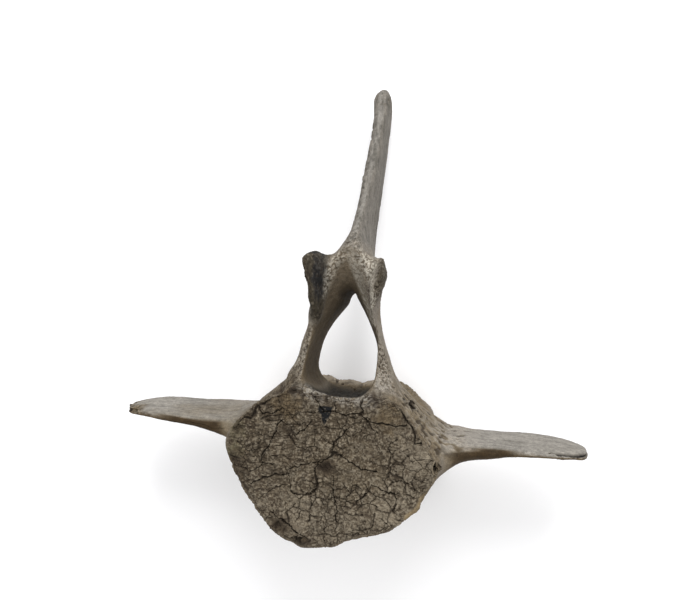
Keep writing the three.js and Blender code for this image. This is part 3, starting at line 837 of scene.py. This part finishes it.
# %% Long cracks
TIP_SLIT = [(214, 36.5, 123), (224, 36.5, 119), (231, 36.3, 116), (237, 36, 111.5), (246, 35, 99)]
LEFT_FOOT = [(29, 143, 130), (35, 127, 133), (45, 105, 132), (54, 90, 130), (62, 78, 128)]
RIGHT_RIM = [(-103, 27, 163), (-102, 15, 161), (-93, -5, 161), (-81, -22, 162), (-70, -36, 163)]
LONG_CRACKS = [
    {"route": [(205, 36, 124), (212, 37, 122), (222, 36, 120)], "half": 1.0, "deep": 2.0},
    {"route": TIP_SLIT, "half": 2.8, "deep": 5.5, "straight": True},
    {"route": [(150, 30, 128), (170, 33, 128), (198, 36, 122)], "half": 1.0, "deep": 1.0},
    {"route": LEFT_FOOT, "half": 2.2, "deep": 2.2},
    {"route": [(36, 118, 112), (44, 98, 112), (56, 80, 110), (70, 66, 112)], "half": 1.5, "deep": 2.0},
    {"route": [(-25, 80, 0), (-24.5, 75, 10), (-23, 72, 26)], "half": 2.4, "deep": 4.5},
    {"route": [(3, 80, 0), (3.5, 74, 10), (4, 72, 30)], "half": 2.4, "deep": 4.5},
    {"route": [(-37, 84, 0), (-36, 78, 10)], "half": 1.2, "deep": 1.5},
    {"route": [(-11, 79, 0), (-10, 74, 9), (-11, 72, 18)], "half": 1.2, "deep": 1.5},
    {"route": [(98, 44, 150), (108, 38, 140), (122, 35, 134), (140, 36, 130)], "half": 1.2, "deep": 1.6},
    {"route": [(88, 52, 150), (100, 45, 120), (118, 41, 100), (140, 41, 90)], "half": 1.4, "deep": 2.0},
    {"route": [(86, 54, 135), (98, 48, 105), (116, 43, 85), (134, 42, 75)], "half": 1.4, "deep": 1.8},
    {"route": [(74, 62, 150), (84, 56, 140), (94, 50, 130), (104, 44, 128)], "half": 1.4, "deep": 1.8},
    {"route": [(97, 8, 160), (104, 12, 150), (118, 20, 140)], "half": 1.3, "deep": 1.8},
    {"route": RIGHT_RIM, "half": 1.6, "deep": 1.8},
]
ragged_places = wander(P, 1.4, 7.0, 220.0)
long_cracks = np.zeros(len(P), np.float32)
for crack in LONG_CRACKS:
    places = P if crack.get("straight") else ragged_places
    cut = groove(route_distance(places, crack["route"]), crack["half"])
    relief -= crack["deep"] * cut
    long_cracks = np.maximum(long_cracks, cut)
print("long cracks", len(LONG_CRACKS))

# %% [markdown]
# ## Relief into the skin
# The relief only ever goes inwards, so the bone stays inside the CAD part's size, and its lowest
# points still rest on the floor.

# %% Displacement
CLEARANCE = 0.05
relief = np.minimum(relief, 0)
worn = P + N * relief[:, None]
worn[:, 2] -= worn[:, 2].min()
worn = np.clip(worn, cad_low + CLEARANCE, cad_high - CLEARANCE)
skin.vertices.foreach_set("co", (worn * MM).ravel().astype(np.float32))
print("worn box", worn.min(0).round(1), worn.max(0).round(1))

# %% [markdown]
# ## Colour
# Dry bone is grey where the sun has bleached it, brown where its fats and the ground have stained
# it, and nearly black in its cracks, where dirt and painted shade lie. The colours below, from 0 to
# 255, are as they look in even light, except those laid on as painted shade. They are laid over each
# other by the masks, from the ground tone up to the stains.

# %% Colours and the brush
GROUND = {
    "grey": (116, 109, 99),
    "pale": (134, 130, 123),
    "pale_root": (144, 138, 129),
    "spine": (122, 118, 112),
    # Painted shade on the sides of the spine.
    "spine_side": (108, 103, 96),
    "face": (82, 73, 59),
    "face_light": (124, 115, 100),
    "face_dark": (58, 49, 38),
    "side": (104, 92, 73),
    "ash": (80, 77, 71),
    "brown": (88, 74, 53),
    "arch_light": (122, 114, 102),
    "arch_brown": (84, 73, 57),
    "roof": (98, 87, 72),
    # Painted shade deep under the roof of the canal and on its floor.
    "canal": (54, 46, 34),
    "canal_floor": (29, 26, 20),
    "rear_rim": (160, 150, 135),
    # Painted shade, with stain: the hollow under the canal, the inner side of the right ear, the slit.
    "slate": (18, 19, 21),
    "slate_ear": (58, 56, 54),
    "speckle": (164, 158, 146),
    "ear": (55, 49, 38),
    # Dirt and painted shade in cracks, pits and holes.
    "crack": (30, 23, 16),
    # Painted shade under the front edges of the wings.
    "umber": (54, 42, 26),
    "tan": (112, 97, 72),
    "algae": (94, 91, 64),
    "hole": (62, 52, 40),
}


def paint(name, weight):
    """Lay a colour over the points, as strongly as the weight says, from 0 to 1."""
    weight = np.clip(weight, 0, 1)[:, None]
    colour[:] += (np.array(GROUND[name], np.float32) - colour) * weight


colour = np.tile(np.array(GROUND["grey"], np.float32), (len(P), 1))
print("colours", len(GROUND))

# %% [markdown]
# The outside of the bone comes first. The wings are pale above, bleached and painted as lit, brown
# below and umber under their front edge, both painted shade. The sides of the spine are painted
# darker as shade, and the side of the drum is browner, darker still where it faces down, which is
# painted shade.

# %% Wings, spine and side of the drum
broad = rough(P, 40.0, 3, 230.0)
patch = rough(P, 14.0, 3, 240.0)
speck = rough(P, 3.0, 2, 250.0)
mottle = smoothstep(0.35, 0.65, pebbles)
underside_shade = smoothstep(0.05, -0.6, N[:, 1])
upward = smoothstep(0.0, 0.7, N[:, 1])
# Painted light, with bleaching: the upper faces of the wings paler.
paint("pale", wings * upward * 0.9)
paint("spine", spine)
# Painted shade: the sides of the spine darker than its front.
paint("spine_side", spine * smoothstep(0.2, 0.7, np.abs(N[:, 0])))
drum_tone = drum_side * away_from_wing
# Painted shade: the side of the drum darker where it faces down.
paint("side", drum_side * smoothstep(0.3, -0.3, N[:, 1]) * 0.7)
paint("side", drum_tone * 0.85)
paint("brown", drum_tone * smoothstep(0.4, 0.7, broad) * 0.6)
weathered = flanks * (1 - inner) * (1 - spine)
paint("brown", weathered * smoothstep(0.5, 0.75, rough(P, 55.0, 4, 231.0)) * 0.3)
paint("hole", weathered * vessel_grooves * 0.35)
# Painted shade: the undersides of the wings brown.
paint("brown", wings * underside_shade * 0.85)
# Painted shade: the front edges and undersides of the wings, brown near the root and umber further out.
front_edge_shade = wing_edge * smoothstep(0.2, 0.7, N[:, 2])
front_edge_shade = np.maximum(front_edge_shade, wings * underside_shade)
outwards = np.abs(X + 7) + 20 * (rough(P, 16.0, 2, 232.0) - 0.5)
paint("side", front_edge_shade * smoothstep(134, 112, outwards) * 0.75)
front_edge_shade = front_edge_shade * smoothstep(192, 160, outwards) * smoothstep(110, 130, outwards)
paint("umber", front_edge_shade * (0.85 + 0.3 * patch))

# %% [markdown]
# The arch is light outside and brown inside, partly stain and partly painted shade, and painted
# darkest as shade deep under its roof and on the floor of the canal. Its rough front is speckled:
# pale crests, with dark in every small pore.

# %% Arch and canal
low_arch = arch * (1 - spine)
paint("arch_light", low_arch * 0.7)
paint("arch_brown", low_arch * smoothstep(0.5, 0.68, patch) * 0.45)
# Stain and painted shade: the inside of the arch brown.
paint("arch_brown", inner * (0.85 + 0.2 * patch))
high_roof = inner * smoothstep(150, 185, Y) * smoothstep(105, 135, Z)
paint("roof", high_roof * 0.85)
# Painted shade deep under the roof of the canal.
roof_shade = inner * smoothstep(140, 165, Y) * smoothstep(132, 100, Z)
paint("canal", roof_shade * 0.6)
paint("arch_light", front_rough * smoothstep(0.4, 0.7, pebbles) * 0.6)
paint("hole", front_rough * short_creases * 0.6)
paint("hole", front_rough * smoothstep(0.4, 0.2, pebbles) * 0.45)
paint("crack", front_rough * smoothstep(0.42, 0.17, grain) * 0.85)
paint("speckle", front_rough * smoothstep(0.55, 0.8, grain) * 0.6)
floor_of_canal = near["drum"] * smoothstep(0.2, 0.8, N[:, 1]) * smoothstep(48, 38, np.abs(X + 3))
floor_of_canal = floor_of_canal * smoothstep(166, 156, Z)
paint("rear_rim", floor_of_canal * smoothstep(34, 8, Z) * 0.9)
# Painted shade: the floor of the canal nearly black towards the front face.
paint("canal_floor", floor_of_canal * smoothstep(18, 60, Z) * 0.95)

# %% [markdown]
# Sponge is dark in its pores. Ash-grey streaks follow the fibres, and the shoulder and the side of
# the drum are dark in their creases.

# %% Sponge, streaks and creases
paint("hole", spongy * np.maximum(sponge, 0.7 * coarse_sponge) * 0.7)
paint("tan", tip_break * 0.6)
paint("crack", tip_break * smoothstep(0.5, 0.66, noise(P, 5.0, 256.0)) * 0.85)
streaks = (1 - fibre_wing) * wings * (1 - wing_edge) + (1 - fibre_spine) * spine
paint("ash", streaks * 0.45)
dark_streaks = smoothstep(0.5, 0.75, noise(wander(P, 1.0, 12.0, 254.0), (2.4, 42, 2.8), 255.0))
paint("ash", spine * dark_streaks * 0.6)
paint("side", shoulder * 0.75)
paint("pale", shoulder * smoothstep(0.6, 0.9, fibre_shoulder) * 0.4)
paint("hole", shoulder * smoothstep(0.5, 0.15, fibre_shoulder) * 0.6)
paint("crack", shoulder * coarse_sponge * 0.6)
paint("crack", drum_side * 0.4 * drum_creases)
paint("hole", drum_side * smoothstep(0.6, 0.2, fibre_drum) * 0.35)

# %% [markdown]
# The front face is darker towards its upper right and lighter below and on the left. Crests carry
# a painted highlight, and dents and creases painted shade, down to single grains.

# %% Front face
dents = 0.4 * (1 - wrinkles) + 0.6 * (1 - pebbles)
creases = np.maximum(long_creases, 0.8 * short_creases)
paint("face", end_faces)
upper_right = smoothstep(10, 60, -X * 0.6 + Y * 0.6)
lower_light = np.clip(smoothstep(0, -50, Y) + smoothstep(40, 85, X), 0, 1)
paint("face_dark", end_faces * upper_right * 0.3)
paint("face_light", end_faces * lower_light * 0.45)
# Painted highlight on the crests of the relief.
paint("face_light", end_faces * smoothstep(0.45, 0.2, dents) * 0.6)
paint("face_light", end_faces * smoothstep(0.6, 0.8, patch) * 0.35)
# Painted shade in the dents and creases of the relief.
paint("face_dark", end_faces * smoothstep(0.5, 0.8, dents) * 0.6)
paint("crack", end_faces * creases * 0.55)
# Painted highlight on raised grains and painted shade in sunken ones.
paint("face_light", end_faces * smoothstep(0.58, 0.8, grain) * 0.62)
paint("face_dark", end_faces * smoothstep(0.42, 0.2, grain) * 0.8)

# %% [markdown]
# Stains are soft blots at listed spots of the face: brown soil below the arch, a breath of algae on
# the right rim, and darker and lighter patches. The dark blot in the middle pit and the black blots
# in the pit at the right foot of the arch and on a chip out of the lower rim are painted shade. The
# lip under the canal is bleached and cracked.

# %% Stains and painted shade, lip and feet
STAINS_AND_SHADE = [
    {"at": (-46, 64), "reach": 20, "paint": "brown", "strength": 0.55},
    {"at": (50, 60), "reach": 17, "paint": "brown", "strength": 0.5},
    {"at": (-96, 14), "reach": 13, "paint": "algae", "strength": 0.3},
    {"at": (-97, 32), "reach": 12, "paint": "algae", "strength": 0.25},
    # Painted shade: the dark blot in the middle pit.
    {"at": (-5, 4), "reach": 12, "paint": "face_dark", "strength": 0.75},
    # Painted shade: the black blot in the pit at the right foot of the arch.
    {"at": (-43.5, 77), "reach": 7, "paint": "crack", "strength": 0.75},
    {"at": (-42, -56), "reach": 14, "paint": "face_dark", "strength": 0.8},
    # Painted shade: the black blot on the chip out of the lower rim.
    {"at": (-20, -66), "reach": (16, 7), "paint": "crack", "strength": 0.5},
    {"at": (84, 20), "reach": 20, "paint": "face_light", "strength": 0.5},
    {"at": (58, -34), "reach": 24, "paint": "face_light", "strength": 0.35},
    {"at": (-28, -40), "reach": 24, "paint": "face_light", "strength": 0.3},
    {"at": (-92, -8), "reach": (9, 30), "paint": "face_dark", "strength": 0.5},
]
for blot in STAINS_AND_SHADE:
    apart = (XY - np.array(blot["at"], np.float32)) / blot["reach"]
    away = np.hypot(apart[:, 0], apart[:, 1])
    away = away + 0.7 * (noise(P, 9.0, 260.0) - 0.5) + 0.4 * (noise(P, 3.0, 262.0) - 0.5)
    spread = smoothstep(1.05, 0.35, away) * front_only
    paint(blot["paint"], spread * blot["strength"])
lip = front_only * near["drum"] * smoothstep(60, 74, Y) * smoothstep(50, 30, np.abs(X))
paint("arch_light", lip * 0.5)
paint("pale", lip * mottle * 0.7)
lip_cracks = crease(bent, (3.4, 12.0, 6.0), 0.07, 270.0) + short_creases
paint("crack", lip * np.clip(lip_cracks, 0, 1) * 0.9)
left_root = wings * smoothstep(150, 120, X) * smoothstep(84, 96, X) * smoothstep(0.1, 0.6, N[:, 1])
paint("pale_root", left_root * smoothstep(0.35, 0.6, fibre_shoulder) * 0.8)
left_foot = near["arch"] * smoothstep(28, 36, X) * smoothstep(104, 84, Y)
left_foot = left_foot * smoothstep(0.2, 0.6, N[:, 2])
paint("pale_root", left_foot * (0.4 + 0.5 * mottle))

# %% [markdown]
# The ears are the darkest bone, the right one partly as painted shade. A slate-grey hollow runs down
# the inner side of the right one, stained and painted as shade; the ridges of the trough stand pale
# beside them.

# %% Ears, ridges and slate
ear_right_inner = near["ear_right"] * smoothstep(-0.2, 0.5, N[:, 0])
slate_area = smoothstep(173, 165, Z + 10 * (noise(P, 8.0, 265.0) - 0.5)) * smoothstep(138, 150, Z)
slate_area = slate_area * smoothstep(160, 172, Y)
blotch = smoothstep(0.45, 0.6, rough(P, 4.0, 2, 266.0))
# Stain and painted shade: the right ear dark.
paint("ear", near["ear_right"] * 0.9)
paint("arch_light", near["ear_right"] * smoothstep(0.62, 0.78, pebbles) * 0.5)
paint("crack", near["ear_right"] * blotch * (1 - speckle) * 0.7)
# Stain and painted shade: the inner side of the right ear slate-grey to nearly black.
paint("slate_ear", ear_right_inner * slate_area * 0.9)
paint("slate", ear_right_inner * slate_area * blotch * 0.8)
paint("crack", ear_right_inner * slate_area * (1 - speckle) * 0.6)
ear_left_outer = near["ear_left"] * smoothstep(26.5, 31.5, X + 5 * (noise(P, 4.0, 267.0) - 0.5))
ridge_light = np.maximum(trough_ridges, left_slope) * (1.15 - 0.4 * smoothstep(0, -12, X))
paint("speckle", ridge_light * (0.42 + 0.5 * speckle))
paint("hole", trough_ridges * smoothstep(0.5, 0.1, speckle) * 0.5)
paint("ear", ear_left_outer * (0.7 + 0.15 * mottle) * smoothstep(164, 190, Y))
paint("arch_light", ear_left_outer * smoothstep(0.55, 0.75, pebbles) * 0.45)
paint("crack", ear_left_outer * (1 - speckle) * 0.5)
# Painted shade: the hollow under the canal near black, with paler grains.
paint("slate", slate_patch * (0.98 - 0.6 * smoothstep(0.55, 0.8, grain)))
paint("tan", wedge * 0.9)

# %% [markdown]
# Dirt and painted shade darken every crack, joint, pit and hole, and the slit at the tip of the left
# process. At the end all colours vary a little from place to place, and are stored on the points of
# the mesh as linear light.

# %% Dirt and painted shade in the hollows, and the finished tint
cavity = np.clip(0.95 * main + 0.75 * minor + 0.9 * long_cracks + 0.8 * pitted, 0, 1)
cavity = np.maximum(cavity, end_faces * np.clip(0.6 * mosaic + 0.45 * small_mosaic, 0, 1))
cavity = np.maximum(cavity, near_rim * 0.6 * rim_joint)
cavity = np.maximum(cavity, holes)
# Dirt and painted shade: every crack, joint, pit and hole darkened.
paint("crack", cavity * 0.95)
# Painted shade: the slit at the tip of the left process nearly black.
paint("slate", smoothstep(2.3, 1.3, route_distance(P, TIP_SLIT)) * 0.9)
shade = 0.86 + 0.28 * speck + 0.14 * (broad - 0.5)
colour = np.clip(colour * shade[:, None], 4, 235) / 255
linear = np.where(colour <= 0.04045, colour / 12.92, ((colour + 0.055) / 1.055) ** 2.4)
tint = skin.color_attributes.new("bone_tint", "FLOAT_COLOR", "POINT")
rgba = np.ones((len(P), 4), np.float32)
rgba[:, :3] = linear
tint.data.foreach_set("color", rgba.ravel())
print("mean colour", (colour.mean(0) * 255).round())

# %% [markdown]
# ## Material
# One dry, matte material reads the painted colour. Under a millimetre, where the mesh ends, fine
# noise gives the grain of the bone.

# %% Material
material = bpy.data.materials.new("weathered_bone")
material.use_nodes = True
nodes = material.node_tree.nodes
links = material.node_tree.links
shader = nodes["Principled BSDF"]
shader.inputs["Roughness"].default_value = 0.92
shader.inputs["Specular IOR Level"].default_value = 0.22
tint_node = nodes.new("ShaderNodeVertexColor")
tint_node.layer_name = "bone_tint"
coordinates = nodes.new("ShaderNodeTexCoord")
fine = nodes.new("ShaderNodeTexNoise")
fine.inputs["Scale"].default_value = 900
fine.inputs["Detail"].default_value = 4
fine.inputs["Roughness"].default_value = 0.65
levels = nodes.new("ShaderNodeMapRange")
levels.inputs["From Min"].default_value = 0.3
levels.inputs["From Max"].default_value = 0.7
levels.inputs["To Min"].default_value = 0.66
levels.inputs["To Max"].default_value = 1.30
scale_tint = nodes.new("ShaderNodeVectorMath")
scale_tint.operation = "SCALE"
bump = nodes.new("ShaderNodeBump")
bump.inputs["Strength"].default_value = 0.35
bump.inputs["Distance"].default_value = 0.0006
links.new(coordinates.outputs["Object"], fine.inputs["Vector"])
links.new(fine.outputs["Fac"], levels.inputs["Value"])
links.new(tint_node.outputs["Color"], scale_tint.inputs[0])
links.new(levels.outputs["Result"], scale_tint.inputs["Scale"])
links.new(scale_tint.outputs["Vector"], shader.inputs["Base Color"])
links.new(fine.outputs["Fac"], bump.inputs["Height"])
links.new(bump.outputs["Normal"], shader.inputs["Normal"])
skin.materials.clear()
skin.materials.append(material)
skin.polygons.foreach_set("use_smooth", np.ones(len(skin.polygons), bool))
skin.update()

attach(bone, "root")
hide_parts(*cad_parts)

# %% [markdown]
# ## Floor and light
# The bone lies on a plain white floor, which glows a little so that it stays nearly white. A large
# soft lamp stands on the dorsal side, so that the shadows fall towards the belly, and a pale sky
# fills them.

# %% Studio
bpy.ops.mesh.primitive_plane_add(size=60, location=(0, 0, 0))
floor = bpy.context.object
floor.name = "floor"
floor_material = bpy.data.materials.new("studio_floor")
floor_material.use_nodes = True
floor_shader = floor_material.node_tree.nodes["Principled BSDF"]
floor_shader.inputs["Base Color"].default_value = (0.87, 0.87, 0.88, 1)
floor_shader.inputs["Roughness"].default_value = 0.95
floor_shader.inputs["Specular IOR Level"].default_value = 0.0
floor_shader.inputs["Emission Color"].default_value = (1, 1, 1, 1)
floor_shader.inputs["Emission Strength"].default_value = 0.11
floor.data.materials.append(floor_material)

world = bpy.data.worlds.new("studio")
bpy.context.scene.world = world
world.use_nodes = True
world.node_tree.nodes["Background"].inputs["Color"].default_value = (1, 1, 1, 1)
world.node_tree.nodes["Background"].inputs["Strength"].default_value = 0.95


def lamp(name, place, target, size, power):
    light = bpy.data.lights.new(name, "AREA")
    light.shape = "DISK"
    light.size = size
    light.energy = power
    holder = bpy.data.objects.new(name, light)
    holder.location = place
    aim = Vector(target) - Vector(place)
    holder.rotation_euler = aim.to_track_quat("-Z", "Y").to_euler()
    bpy.context.scene.collection.objects.link(holder)


lamp("key", (0.1, 1.3, 1.1), (0, 0.1, 0.05), 1.0, 18)
lamp("fill", (0.9, 0.3, 1.5), (0, 0.1, 0.05), 1.2, 4)
scene = bpy.context.scene
scene.view_settings.view_transform = "Standard"
scene.view_settings.look = "None"
scene.view_settings.exposure = 0
scene.view_settings.gamma = 1

# %% [markdown]
# ## Camera
# The camera looks down on the front face from about 0.8 m, turned a little towards the animal's
# left and rolled by five degrees.

# %% Camera
DISTANCE = 0.820
FOCAL_PIXELS = 860
TURN = math.radians(8.8)
ROLL = math.radians(5.0)
IMAGE_WIDTH = 685
FACE_HEIGHT = 0.170
FACE_FROM_CENTRE = (-12.5, -174.0)
across = Vector((math.cos(TURN), 0, math.sin(TURN)))
up = Vector((0, 1, 0))
ahead = Vector((-math.sin(TURN), 0, math.cos(TURN)))
turned = Matrix((across, up, ahead)).transposed()
axes = Matrix.Rotation(-ROLL, 3, "Z") @ turned
face_place = Vector((
    FACE_FROM_CENTRE[0] * DISTANCE / FOCAL_PIXELS,
    FACE_FROM_CENTRE[1] * DISTANCE / FOCAL_PIXELS,
    -DISTANCE,
))
offset = face_place - FACE_HEIGHT * axes.col[2]
lens = bpy.data.cameras.new("camera")
lens.sensor_width = 36
lens.sensor_fit = "HORIZONTAL"
lens.lens = 36 * FOCAL_PIXELS / IMAGE_WIDTH
lens.clip_start = 0.01
camera = bpy.data.objects.new("camera", lens)
camera.matrix_world = Matrix.Translation(-(axes.transposed() @ offset)) @ axes.transposed().to_4x4()
scene.collection.objects.link(camera)
scene.camera = camera

# %% View layer update
bpy.context.view_layer.update()
